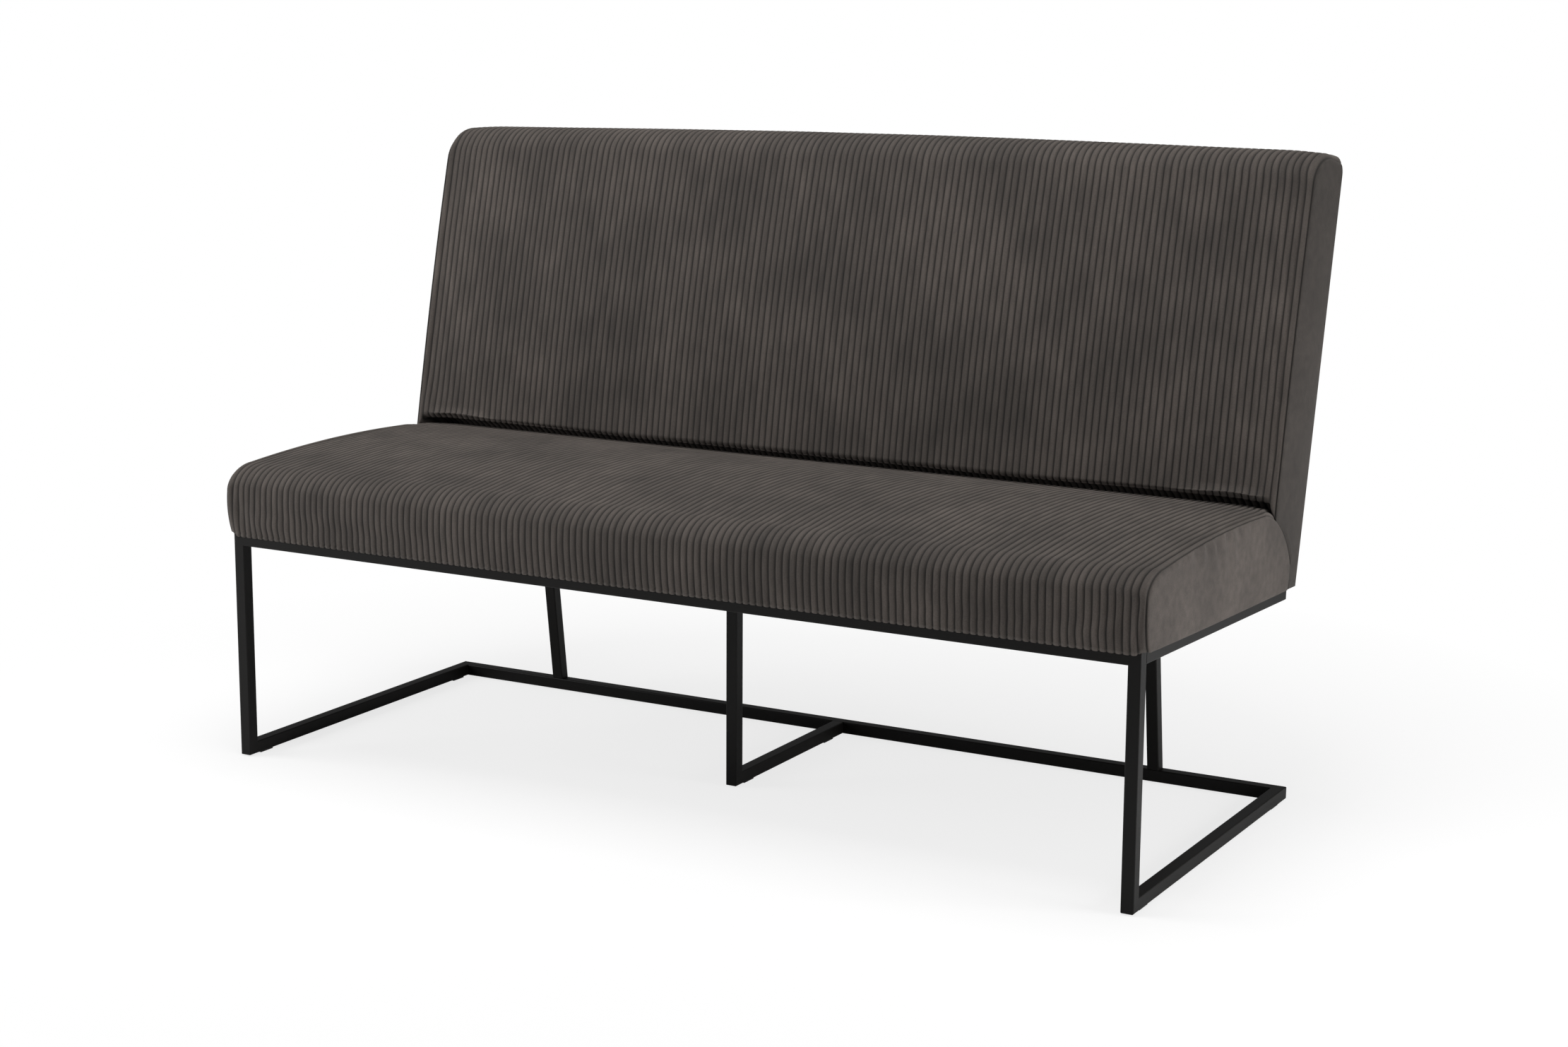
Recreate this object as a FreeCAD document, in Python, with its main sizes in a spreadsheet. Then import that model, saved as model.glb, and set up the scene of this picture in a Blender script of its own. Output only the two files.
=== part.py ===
import FreeCAD, Part
import math
import os

import Sketcher

# A tall-backed dining bench: a steel sled base, a webbed and padded seat, and a padded leaning back.
# Millimetres. X runs along the bench, the front is towards -Y, Z is up, and the floor is at Z = 0.

SIZES = (
    # Steel base
    ("frame_width", 1580, "over the outer faces of the front legs"),
    ("base_depth", 632, "front face of the legs to the rear face of the rear floor bar"),
    ("front_face_y", -372.66, "place of the legs' front faces along Y"),
    ("tube_side", 20, "side of the square tube"),
    ("tube_wall", 1.5, "wall of the square tube"),
    ("tube_corner", 2, "outer corner radius of the square tube"),
    ("rail_top", 375, "top of the front seat rail above the floor"),
    ("side_rail_length", 572, "side seat rail along its slope, from front rail to rear face"),
    ("seat_tilt", 2.3, "slope of the seat frame down to the rear, degrees"),
    ("strut_inset", 217, "middle of a rear strut from the end of the frame"),
    ("centre_leg_setback", 252, "centre leg behind the front face of the legs"),
    # Floor glides
    ("glide_thickness", 2.5, "stick-on pad, which lifts the tubes off the floor"),
    ("glide_width", 14, "stick-on pad across its runner"),
    ("glide_length", 30, "stick-on pad along its runner"),
    ("glide_end_distance", 30, "end of a pad from the end of its runner"),
    # Seat frame of timber
    ("timber_thickness", 22, "seat timbers and braces"),
    ("timber_height", 45, "seat timbers and braces"),
    ("front_padding", 12, "foam between the front timber and the cover"),
    ("timber_seam_gap", 2, "end of the timber frame inside the end seam of its cover"),
    ("corner_block_leg", 60, "glue block along each timber"),
    ("corner_block_height", 40, "glue block"),
    ("webbing_width", 60, "elastic strap"),
    ("webbing_thickness", 1.5, "elastic strap"),
    ("seat_webbing_count", 12, "straps under the seat foam"),
    ("seat_webbing_margin", 58.5, "outermost seat strap from the end of the timber frame"),
    # Seat fixing screws
    ("screw_diameter", 5, "shank of a seat screw"),
    ("screw_clearance", 0.25, "all round a seat screw"),
    ("screw_bite", 26, "length of a seat screw inside its brace"),
    ("screw_head_flats", 8, "hexagon head across its flats"),
    ("screw_head_height", 3, "hexagon head"),
    ("screw_front", 110, "front screw behind the front seat rail"),
    ("screw_spacing", 330, "front screw to rear screw"),
    # Covers
    ("cover_thickness", 2.5, "corduroy and its backing"),
    ("cover_flange", 32, "cover turned under the seat"),
    ("soft_clearance", 0.3, "between a soft piece and its neighbour"),
    ("dust_cover_thickness", 1, "sheet under the seat"),
    # Seat form
    ("seat_depth", 568, "front face of the legs to the foot of the seat's rear face"),
    ("seat_overhang", 2, "foot of the cover outside the frame"),
    ("seat_bulge", 8, "swell of the front and ends beyond their foot"),
    ("seat_edge_rise", 78, "start of the front edge's rounding above the seat rail"),
    ("seat_front_rise", 116, "end of the front edge's rounding above the seat rail"),
    ("seat_front_round", 60, "front edge's rounding along the depth"),
    ("seat_top_rise", 123, "middle of the top above the seat rail, at the end seams"),
    ("seat_crown", 9, "extra rise of the top half way along the bench"),
    ("seat_rear_rise", 108, "start of the rear edge's rounding above the seat rail"),
    ("seat_rear_round", 86, "rear edge's rounding along the depth"),
    ("seat_rear_edge_rise", 52, "foot of the rear edge's rounding above the seat rail"),
    ("seat_seam_inset", 22, "end seam inside the end of the seat"),
    ("seat_end_top_round", 16, "rounding of an end panel at the top"),
    ("seat_end_side_round", 11, "rounding of an end panel at front and rear"),
    ("seat_end_undercut", 30, "height of an end panel's drawn-in foot"),
    # Back form, measured square to and along the leaning back
    ("back_lean", 12.8, "lean of the back from upright, degrees"),
    ("back_height", 662, "along the lean, from the foot of the back"),
    ("back_thickness", 135, "front of the back to its rear face"),
    ("back_overhang", 8, "end of the back beyond the frame"),
    ("back_top_crown", 4, "extra height of the top half way along the bench"),
    ("back_crown", 9, "swell of the front half way along the bench"),
    ("back_end_crown", 4, "swell of the front at the end seams"),
    ("back_front_round", 40, "rounding of the top edge at the front"),
    ("back_rear_round", 16, "rounding of the top edge at the rear"),
    ("tail_rise", 114, "top of the thin foot that stands behind the seat"),
    ("roll_rise", 124, "underside of the front roll"),
    ("roll_round", 12, "rounding of the front roll"),
    ("back_seam_inset", 16, "end seam inside the end of the back"),
    ("back_rear_seam", 12, "rear seam in front of the rear face"),
    ("back_end_top_round", 24, "rounding of an end panel at the top"),
    ("back_end_front_round", 6, "rounding of an end panel at the front"),
    ("back_end_rear_round", 6, "rounding of an end panel at the rear"),
    # Back frame of timber
    ("back_timber_thickness", 40, "uprights and rails"),
    ("back_upright_width", 45, "uprights"),
    ("back_rail_height", 70, "top and bottom rails"),
    ("back_top_padding", 24, "foam over the top rail"),
    ("inner_upright_x", 260, "middle of an inner upright from the middle of the bench"),
    ("back_webbing_count", 5, "straps behind the back foam"),
    ("back_webbing_pitch", 95, "spacing of the back straps"),
    ("back_webbing_start", 170, "middle of the lowest back strap above the foot"),
    # Coach screws that hold the back to the seat's rear timber
    ("coach_diameter", 8, "shank"),
    ("coach_clearance", 0.3, "all round a coach screw"),
    ("coach_bite", 34, "length of a coach screw inside the back's bottom rail"),
    ("coach_head_flats", 13, "hexagon head across its flats"),
    ("coach_head_height", 5.5, "hexagon head"),
    ("coach_seat_wall", 14, "timber left under a coach screw's head"),
    ("coach_counterbore", 22, "socket room round a coach screw's head"),
    ("coach_rise", 26, "coach screws above the foot of the back"),
    ("coach_inner_x", 180, "inner coach screws from the middle of the bench"),
    ("coach_outer_x", 600, "outer coach screws from the middle of the bench"),
)

doc = FreeCAD.newDocument("dining_banquette")
sheet = doc.addObject("Spreadsheet::Sheet", "sizes")
for row, (alias, amount, meaning) in enumerate(SIZES, start=1):
    sheet.set(f"A{row}", meaning)
    sheet.set(f"B{row}", str(amount))
    sheet.setAlias(f"B{row}", alias)
doc.recompute()

Vector = FreeCAD.Vector
SIDES = (("left", -1), ("right", 1))
PIECES = []


def size(alias):
    """Value of one cell of the sheet."""
    return float(sheet.get(alias))


def number(expression):
    """Value of an expression on the sheet's cells."""
    value = sheet.evalExpression(str(expression))
    return float(getattr(value, "Value", value))


def piece(item):
    """Counts an object of the document as a sub-part of its own."""
    PIECES.append(item)
    return item


# Sketches, pads and cuts

def new_body(label):
    body = doc.addObject("PartDesign::Body", label)
    body.Label = label
    return body


def new_sketch(body, plane):
    """A sketch on one of the body's own origin planes."""
    sketch = body.newObject("Sketcher::SketchObject", "outline")
    support = next(item for item in body.Origin.OriginFeatures if item.Role == plane)
    sketch.AttachmentSupport = (support, [""])
    sketch.MapMode = "FlatFace"
    return sketch


def pin(sketch, geometry, position, point):
    """Holds one point of the sketch at two expressions, measured from the sketch's origin."""
    for kind, expression in zip(("DistanceX", "DistanceY"), point):
        rule = Sketcher.Constraint(kind, -1, 1, geometry, position, number(expression))
        index = sketch.addConstraint(rule)
        sketch.setExpression(f"Constraints[{index}]", str(expression))


def add_polygon(sketch, points):
    corners = [Vector(number(across), number(up), 0) for across, up in points]
    lines = []
    for start, end in zip(corners, corners[1:] + corners[:1]):
        lines.append(sketch.addGeometry(Part.LineSegment(start, end)))
    for line, following in zip(lines, lines[1:] + lines[:1]):
        sketch.addConstraint(Sketcher.Constraint("Coincident", line, 2, following, 1))
    for line, point in zip(lines, points):
        pin(sketch, line, 1, point)


def add_rectangle(sketch, low, high):
    add_polygon(sketch, (low, (high[0], low[1]), high, (low[0], high[1])))


def add_circle(sketch, centre, diameter):
    middle = Vector(number(centre[0]), number(centre[1]), 0)
    circle = sketch.addGeometry(Part.Circle(middle, Vector(0, 0, 1), number(diameter) / 2))
    pin(sketch, circle, 3, centre)
    index = sketch.addConstraint(Sketcher.Constraint("Diameter", circle, number(diameter)))
    sketch.setExpression(f"Constraints[{index}]", str(diameter))


def add_pad(body, sketch, length, symmetric=False, flip=False):
    pad = body.newObject("PartDesign::Pad", "pad")
    pad.Profile = sketch
    pad.SideType = "Symmetric" if symmetric else "One side"
    pad.Reversed = flip
    pad.setExpression("Length", length)
    doc.recompute()
    return pad


def add_cut(body, sketch, depth=None, symmetric=False, flip=False):
    """Pockets the sketch through the body, or to a depth, and makes sure that it removes material."""
    before = body.Shape.Volume
    pocket = body.newObject("PartDesign::Pocket", "pocket")
    pocket.Profile = sketch
    pocket.Type = "Length" if depth else "ThroughAll"
    pocket.SideType = "Symmetric" if symmetric else "One side"
    pocket.Reversed = flip
    if depth:
        pocket.setExpression("Length", depth)
    doc.recompute()
    if body.Shape.Volume >= before:
        raise RuntimeError(f"{body.Label}: a cut removes nothing")


def block(label, low, high, height):
    """A block on a rectangle in its own XY plane."""
    body = new_body(label)
    outline = new_sketch(body, "XY_Plane")
    add_rectangle(outline, low, high)
    add_pad(body, outline, height)
    return body


# Places: upright, on the sloping seat frame, and on the leaning back

HALF_TUBE = "(sizes.tube_side / 2)"
SEAT_PIVOT_Y = "(sizes.front_face_y + sizes.tube_side)"
BACK_PIVOT_Y = "(sizes.front_face_y + sizes.seat_depth)"
BACK_PIVOT_Z = "(sizes.rail_top - (sizes.seat_depth - sizes.tube_side) * tan(sizes.seat_tilt))"
BACKWARD = Vector(-1, 0, 0)


def place(item, along, depth, height):
    for axis, expression in zip("xyz", (along, depth, height)):
        item.setExpression(f"Placement.Base.{axis}", str(expression))


def turn(item, axis, angle):
    item.Placement = FreeCAD.Placement(Vector(), FreeCAD.Rotation(axis, number(angle)))
    item.setExpression("Placement.Rotation.Angle", angle)


def on_seat(item, along, depth, height):
    """Places an item by its depth and height on the slope that starts behind the front rail's top."""
    turn(item, BACKWARD, "sizes.seat_tilt")
    slope_y = f"({depth}) * cos(sizes.seat_tilt) + ({height}) * sin(sizes.seat_tilt)"
    slope_z = f"({height}) * cos(sizes.seat_tilt) - ({depth}) * sin(sizes.seat_tilt)"
    place(item, along, f"{SEAT_PIVOT_Y} + {slope_y}", f"sizes.rail_top + {slope_z}")


def on_back(item, along, depth, height, quarter_turn=False):
    """Places an item by its depth behind the seat's rear face and its height up the leaning back.

    A quarter turn points the item's own Z axis to the rear, square to the back."""
    turn(item, BACKWARD, "90 + sizes.back_lean" if quarter_turn else "sizes.back_lean")
    lean_y = f"({depth}) * cos(sizes.back_lean) + ({height}) * sin(sizes.back_lean)"
    lean_z = f"({height}) * cos(sizes.back_lean) - ({depth}) * sin(sizes.back_lean)"
    place(item, along, f"{BACK_PIVOT_Y} + {lean_y}", f"{BACK_PIVOT_Z} + {lean_z}")


def group(label, members):
    """One sub-part that is a set of separate, identical solids."""
    item = doc.addObject("Part::Compound", label)
    item.Label = label
    item.Links = members
    return piece(item)


def cylinder(diameter, length):
    item = doc.addObject("Part::Cylinder", "round")
    item.setExpression("Radius", f"({diameter}) / 2")
    item.setExpression("Height", length)
    return item


def box_piece(length, width, height):
    item = doc.addObject("Part::Box", "box")
    for side_name, expression in (("Length", length), ("Width", width), ("Height", height)):
        item.setExpression(side_name, expression)
    return item


def hexagon(flats, height):
    item = doc.addObject("Part::Prism", "hexagon")
    item.Polygon = 6
    item.setExpression("Circumradius", f"({flats}) / 2 / cos(30)")
    item.setExpression("Height", height)
    return item


def fuse(members):
    item = doc.addObject("Part::MultiFuse", "fused")
    item.Shapes = members
    return item


def cut(label, base, tool):
    item = doc.addObject("Part::Cut", label)
    item.Label = label
    item.Base = base
    item.Tool = tool
    return item


# Square steel tube

TUBE_PLANES = {"X": "YZ_Plane", "Y": "XZ_Plane", "Z": "XY_Plane"}


def tube(label, axis, length):
    """A hollow tube with rounded edges. X tubes are centred on their middle, others start at zero."""
    body = new_body(label)
    section = new_sketch(body, TUBE_PLANES[axis])
    bore = "(sizes.tube_side / 2 - sizes.tube_wall)"
    for half in (HALF_TUBE, bore):
        add_rectangle(section, (f"-{half}", f"-{half}"), (half, half))
    wall = add_pad(body, section, length, symmetric=axis == "X", flip=axis == "Y")
    rounding = body.newObject("PartDesign::Fillet", "rounding")
    rounding.Base = (wall, outer_edges(wall.Shape, axis))
    rounding.setExpression("Radius", "sizes.tube_corner")
    doc.recompute()
    return piece(body)


def outer_edges(shape, axis):
    """Names of the four long outer edges of a tube that runs along the axis."""
    across = [index for index, letter in enumerate("XYZ") if letter != axis]
    half = size("tube_side") / 2
    names = []
    for index, edge in enumerate(shape.Edges, start=1):
        ends = [vertex.Point for vertex in edge.Vertexes]
        on_corner = all(abs(abs(end[place]) - half) < 1e-6 for end in ends for place in across)
        if on_corner and abs(edge.Length - (ends[1] - ends[0]).Length) < 1e-6:
            if all(abs(ends[0][place] - ends[1][place]) < 1e-6 for place in across):
                names.append(f"Edge{index}")
    return names


def trim_end(body, axis, plane, end, outward, short_side, drop):
    """Cuts a tube's end at a slant: full length on one side, shorter by the drop on the short side.

    The cut line runs on past both sides of the tube by half its side."""
    long_end = f"{end} + {outward} * ({drop}) / 2"
    short_end = f"{end} - {outward} * ({drop}) * 3 / 2"
    beyond = f"{end} + {outward} * sizes.tube_side"
    near = f"{-short_side} * sizes.tube_side"
    far = f"{short_side} * sizes.tube_side"
    points = [(long_end, near), (short_end, far), (beyond, far), (beyond, near)]
    if axis != plane[0]:
        points = [(across, along) for along, across in points]
    wedge = new_sketch(body, plane)
    add_polygon(wedge, points)
    add_cut(body, wedge, symmetric=True)


def slant_end(body, end, outward, tangent):
    """Cuts an upright tube along a slant through its axis, which falls by the tangent to the rear."""
    front = f"{end} + ({tangent}) * sizes.tube_side"
    rear = f"{end} - ({tangent}) * sizes.tube_side"
    beyond = f"{end} + {outward} * 3 * sizes.tube_side"
    wedge = new_sketch(body, "YZ_Plane")
    add_polygon(wedge, (("-sizes.tube_side", front), ("sizes.tube_side", rear),
                        ("sizes.tube_side", beyond), ("-sizes.tube_side", beyond)))
    add_cut(body, wedge, symmetric=True)


MITRE = "sizes.tube_side"
TILT_DROP = "sizes.tube_side * tan(sizes.seat_tilt)"
TUBE_FLOOR = "sizes.glide_thickness"
HALF_WIDTH = "sizes.frame_width / 2"
LEG_LENGTH = "(sizes.rail_top - sizes.glide_thickness)"
FRAME_X = "(sizes.frame_width - sizes.tube_side) / 2"
BEARER_X = "(sizes.frame_width / 2 - sizes.strut_inset)"


def front_leg(name, side):
    """Mitred to the front rail at the top and to its floor runner at the bottom."""
    leg = tube(f"front_leg_{name}", "Z", LEG_LENGTH)
    trim_end(leg, "Z", "XZ_Plane", LEG_LENGTH, 1, -side, MITRE)
    trim_end(leg, "Z", "YZ_Plane", "0", -1, 1, MITRE)
    place(leg, f"{side} * {FRAME_X}", f"sizes.front_face_y + {HALF_TUBE}", TUBE_FLOOR)


def front_seat_rail():
    rail = tube("front_seat_rail", "X", "sizes.frame_width")
    for sign in (-1, 1):
        trim_end(rail, "X", "XZ_Plane", f"{sign} * {HALF_WIDTH}", sign, -1, MITRE)
    place(rail, "0", f"sizes.front_face_y + {HALF_TUBE}", f"sizes.rail_top - {HALF_TUBE}")


def side_seat_rail(name, side):
    """Slopes down from the back of the front corner and is mitred to the rear rail."""
    rail = tube(f"side_seat_rail_{name}", "Y", "sizes.side_rail_length")
    trim_end(rail, "Y", "YZ_Plane", "0", -1, -1, TILT_DROP)
    trim_end(rail, "Y", "XY_Plane", "sizes.side_rail_length", 1, -side, MITRE)
    on_seat(rail, f"{side} * {FRAME_X}", "0", f"-{HALF_TUBE}")


def rear_seat_rail():
    rail = tube("rear_seat_rail", "X", "sizes.frame_width")
    for sign in (-1, 1):
        trim_end(rail, "X", "XY_Plane", f"{sign} * {HALF_WIDTH}", sign, -1, MITRE)
    on_seat(rail, "0", f"sizes.side_rail_length - {HALF_TUBE}", f"-{HALF_TUBE}")


SCREW_DEPTHS = ("sizes.screw_front", "(sizes.screw_front + sizes.screw_spacing)")
SCREW_HOLE = "sizes.screw_diameter + 2 * sizes.screw_clearance"


BEARERS = (("left", f"-{BEARER_X}"), ("centre", "0"), ("right", BEARER_X))
SCREWED_BEARERS = (BEARERS[0], BEARERS[2])


def seat_bearer(name, along):
    """A tube under the seat from the front rail to the rear rail. The outer two take the seat screws."""
    length = "(sizes.side_rail_length - sizes.tube_side)"
    bearer = tube(f"seat_bearer_{name}", "Y", length)
    trim_end(bearer, "Y", "YZ_Plane", "0", -1, -1, TILT_DROP)
    if (name, along) in SCREWED_BEARERS:
        holes = new_sketch(bearer, "XY_Plane")
        for depth in SCREW_DEPTHS:
            add_circle(holes, ("0", depth), SCREW_HOLE)
        add_cut(bearer, holes, symmetric=True)
    on_seat(bearer, along, "0", f"-{HALF_TUBE}")


def centre_leg():
    """Stands under the centre bearer, whose slope its top follows."""
    slope_drop = "(sizes.centre_leg_setback - sizes.tube_side) * tan(sizes.seat_tilt)"
    length = f"({LEG_LENGTH} - sizes.tube_side / cos(sizes.seat_tilt) - {slope_drop})"
    leg = tube("centre_leg", "Z", length)
    trim_end(leg, "Z", "YZ_Plane", length, 1, 1, TILT_DROP)
    trim_end(leg, "Z", "YZ_Plane", "0", -1, 1, MITRE)
    place(leg, "0", f"sizes.front_face_y + sizes.centre_leg_setback + {HALF_TUBE}", TUBE_FLOOR)


def floor_runner(name, side):
    """Mitred to its front leg and to the rear floor bar."""
    runner = tube(f"floor_runner_{name}", "Y", "sizes.base_depth")
    trim_end(runner, "Y", "YZ_Plane", "0", -1, 1, MITRE)
    trim_end(runner, "Y", "XY_Plane", "sizes.base_depth", 1, -side, MITRE)
    place(runner, f"{side} * {FRAME_X}", "sizes.front_face_y", f"{TUBE_FLOOR} + {HALF_TUBE}")


CENTRE_RUNNER_LENGTH = "(sizes.base_depth - sizes.tube_side - sizes.centre_leg_setback)"


def floor_runner_centre():
    """Mitred to the centre leg and butted against the rear floor bar."""
    runner = tube("floor_runner_centre", "Y", CENTRE_RUNNER_LENGTH)
    trim_end(runner, "Y", "YZ_Plane", "0", -1, 1, MITRE)
    start = "sizes.front_face_y + sizes.centre_leg_setback"
    place(runner, "0", start, f"{TUBE_FLOOR} + {HALF_TUBE}")


def rear_floor_bar():
    bar = tube("rear_floor_bar", "X", "sizes.frame_width")
    for sign in (-1, 1):
        trim_end(bar, "X", "XY_Plane", f"{sign} * {HALF_WIDTH}", sign, -1, MITRE)
    depth = f"sizes.front_face_y + sizes.base_depth - {HALF_TUBE}"
    place(bar, "0", depth, f"{TUBE_FLOOR} + {HALF_TUBE}")


def rear_strut(name, side):
    """Leans forward from the top of the rear floor bar to the underside of the rear seat rail."""
    reach = f"(sizes.side_rail_length - {HALF_TUBE})"
    foot_y = f"(sizes.front_face_y + sizes.base_depth - {HALF_TUBE})"
    foot_z = f"({TUBE_FLOOR} + sizes.tube_side)"
    slope_y = f"({reach} * cos(sizes.seat_tilt) - sizes.tube_side * sin(sizes.seat_tilt))"
    slope_z = f"({reach} * sin(sizes.seat_tilt) + sizes.tube_side * cos(sizes.seat_tilt))"
    run = f"({foot_y} - {SEAT_PIVOT_Y} - {slope_y})"
    rise = f"(sizes.rail_top - {foot_z} - {slope_z})"
    lean = f"atan({run} / {rise})"
    head = f"(sizes.tube_side + {rise} / cos({lean}))"
    strut = tube(f"rear_strut_{name}", "Z", f"{head} + sizes.tube_side")
    slant_end(strut, "sizes.tube_side", -1, f"tan({lean})")
    slant_end(strut, head, 1, f"tan({lean} + sizes.seat_tilt * 1 deg)")
    turn(strut, Vector(1, 0, 0), lean)
    start_y = f"{foot_y} + sizes.tube_side * sin({lean})"
    place(strut, f"{side} * {BEARER_X}", start_y, f"{foot_z} - sizes.tube_side * cos({lean})")


def floor_glides():
    """Stick-on pads under both ends of each runner."""
    front = "sizes.front_face_y + sizes.glide_end_distance"
    rear_end = "sizes.front_face_y + sizes.base_depth"
    rear = f"{rear_end} - sizes.glide_end_distance - sizes.glide_length"
    spots = [("0", f"{front} + sizes.centre_leg_setback"), ("0", f"{rear} - sizes.tube_side")]
    for _, side in SIDES:
        spots += [(f"{side} * {FRAME_X}", front), (f"{side} * {FRAME_X}", rear)]
    pads = []
    for along, depth in spots:
        pad = box_piece("sizes.glide_width", "sizes.glide_length", "sizes.glide_thickness")
        place(pad, f"{along} - sizes.glide_width / 2", depth, "0")
        pads.append(pad)
    group("floor_glides", pads)


# Timber frame, webbing and fixings of the seat, in depth and height on its slope

REAR_ANGLE = "(sizes.back_lean - sizes.seat_tilt)"
SEAT_END_X = "(sizes.frame_width / 2 + sizes.seat_overhang + sizes.seat_bulge)"
TIMBER_X = f"({SEAT_END_X} - sizes.seat_seam_inset - sizes.timber_seam_gap)"
TIMBER_FRONT = (
    "(sizes.cover_thickness + sizes.front_padding - sizes.seat_overhang - sizes.tube_side)"
)
SEAT_REAR = "((sizes.seat_depth - sizes.tube_side) / cos(sizes.seat_tilt))"
TIMBER_REAR = (
    f"({SEAT_REAR} + sizes.cover_thickness * tan({REAR_ANGLE})"
    f" - sizes.cover_thickness / cos({REAR_ANGLE}))"
)
INNER_FRONT = f"({TIMBER_FRONT} + sizes.timber_thickness)"
INNER_REAR = f"({TIMBER_REAR} - sizes.timber_thickness)"
TIMBER_FLOOR = "sizes.cover_thickness"
COACH_PLACES = [
    f"{side} * sizes.{alias}" for _, side in SIDES for alias in ("coach_inner_x", "coach_outer_x")
]


def seat_front_timber():
    timber = block("seat_front_timber", (f"-{TIMBER_X}", TIMBER_FRONT), (TIMBER_X, INNER_FRONT),
                   "sizes.timber_height")
    on_seat(piece(timber), "0", "0", TIMBER_FLOOR)


def coach_row(make, start, width, length):
    """A row of rods of one make, one on each coach screw's line, from a depth behind the seat's rear."""
    rods = []
    for along in COACH_PLACES:
        rod = make(width, length)
        on_back(rod, along, start, "sizes.coach_rise", quarter_turn=True)
        rods.append(rod)
    return rods


COACH_HOLE = "sizes.coach_diameter + 2 * sizes.coach_clearance"
COACH_SEAT = "(-sizes.cover_thickness - sizes.coach_seat_wall)"


def seat_rear_timber():
    """Bevelled along its rear face to the lean of the back, with counterbored holes."""
    blank = new_body("seat_rear_timber_blank")
    outline = new_sketch(blank, "YZ_Plane")
    rear_top = f"{TIMBER_REAR} + sizes.timber_height * tan({REAR_ANGLE})"
    corners = ((INNER_REAR, "0"), (TIMBER_REAR, "0"),
               (rear_top, "sizes.timber_height"), (INNER_REAR, "sizes.timber_height"))
    add_polygon(outline, corners)
    add_pad(blank, outline, f"2 * {TIMBER_X}", symmetric=True)
    on_seat(blank, "0", "0", TIMBER_FLOOR)
    room = "2 * sizes.timber_thickness"
    sockets = coach_row(cylinder, f"{COACH_SEAT} - {room}", "sizes.coach_counterbore", room)
    shanks = coach_row(cylinder, COACH_SEAT, COACH_HOLE, room)
    piece(cut("seat_rear_timber", blank, fuse(sockets + shanks)))


def seat_end_timber(name, side):
    outer = f"{side} * {TIMBER_X}"
    inner = f"{side} * ({TIMBER_X} - sizes.timber_thickness)"
    low, high = (outer, inner) if side < 0 else (inner, outer)
    timber = block(f"seat_end_timber_{name}", (low, INNER_FRONT), (high, INNER_REAR),
                   "sizes.timber_height")
    on_seat(piece(timber), "0", "0", TIMBER_FLOOR)


def seat_cross_brace(name, along):
    """Lies over its bearer and takes any screws that come up through it."""
    half = "sizes.timber_thickness / 2"
    brace = block(f"seat_cross_brace_{name}", (f"-{half}", INNER_FRONT), (half, INNER_REAR),
                  "sizes.timber_height")
    if (name, along) in SCREWED_BEARERS:
        holes = new_sketch(brace, "XY_Plane")
        for depth in SCREW_DEPTHS:
            add_circle(holes, ("0", depth), SCREW_HOLE)
        add_cut(brace, holes, depth="sizes.screw_bite + sizes.screw_clearance", flip=True)
    on_seat(piece(brace), along, "0", TIMBER_FLOOR)


def seat_corner_blocks():
    """Triangular glue blocks in the four corners of the timber frame."""
    blocks = []
    for name, side in SIDES:
        along = f"{side} * ({TIMBER_X} - sizes.timber_thickness)"
        inward = f"{along} - {side} * sizes.corner_block_leg"
        for end, depth, sign in (("front", INNER_FRONT, 1), ("rear", INNER_REAR, -1)):
            body = new_body(f"corner_block_{end}_{name}")
            outline = new_sketch(body, "XY_Plane")
            reach = f"{depth} + {sign} * sizes.corner_block_leg"
            add_polygon(outline, ((along, depth), (inward, depth), (along, reach)))
            add_pad(body, outline, "sizes.corner_block_height")
            on_seat(body, "0", "0", TIMBER_FLOOR)
            blocks.append(body)
    group("seat_corner_blocks", blocks)


def seat_webbing():
    """Straps across the top of the timber frame, from its front face to its rear edge."""
    count = int(size("seat_webbing_count"))
    span = f"(2 * ({TIMBER_X} - sizes.seat_webbing_margin) - sizes.webbing_width)"
    reach = f"{TIMBER_REAR} + sizes.timber_height * tan({REAR_ANGLE}) - {TIMBER_FRONT}"
    straps = []
    for index in range(count):
        along = f"{index / (count - 1) - 0.5} * {span} - sizes.webbing_width / 2"
        item = box_piece("sizes.webbing_width", reach, "sizes.webbing_thickness")
        on_seat(item, along, TIMBER_FRONT, f"{TIMBER_FLOOR} + sizes.timber_height")
        straps.append(item)
    group("seat_webbing", straps)


def seat_fixing_screws():
    """Hexagon-head screws up through the outer bearers into their cross braces."""
    shank_length = "sizes.tube_side + sizes.cover_thickness + sizes.screw_bite"
    screws = []
    for _, along in SCREWED_BEARERS:
        for depth in SCREW_DEPTHS:
            head = hexagon("sizes.screw_head_flats", "sizes.screw_head_height")
            shank = cylinder("sizes.screw_diameter", shank_length)
            place(shank, "0", "0", "sizes.screw_head_height")
            screw = fuse([head, shank])
            on_seat(screw, along, depth, "-sizes.tube_side - sizes.screw_head_height")
            screws.append(screw)
    group("seat_fixing_screws", screws)


OPENING_X = "(sizes.frame_width / 2 + sizes.seat_overhang - sizes.cover_flange)"
OPENING_FRONT = "(sizes.cover_flange - sizes.tube_side - sizes.seat_overhang)"
OPENING_REAR = f"({SEAT_REAR} - sizes.cover_flange)"


def seat_dust_cover():
    """A sheet under the timbers, inside the turned-under edge of the cover."""
    body = new_body("seat_dust_cover")
    outline = new_sketch(body, "XY_Plane")
    half = f"({OPENING_X} - sizes.soft_clearance)"
    add_rectangle(outline, (f"-{half}", f"{OPENING_FRONT} + sizes.soft_clearance"),
                  (half, f"{OPENING_REAR} - sizes.soft_clearance"))
    for _, along in SCREWED_BEARERS:
        for depth in SCREW_DEPTHS:
            add_circle(outline, (along, depth), SCREW_HOLE)
    add_pad(body, outline, "sizes.dust_cover_thickness")
    on_seat(piece(body), "0", "0", f"{TIMBER_FLOOR} - sizes.dust_cover_thickness")


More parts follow.
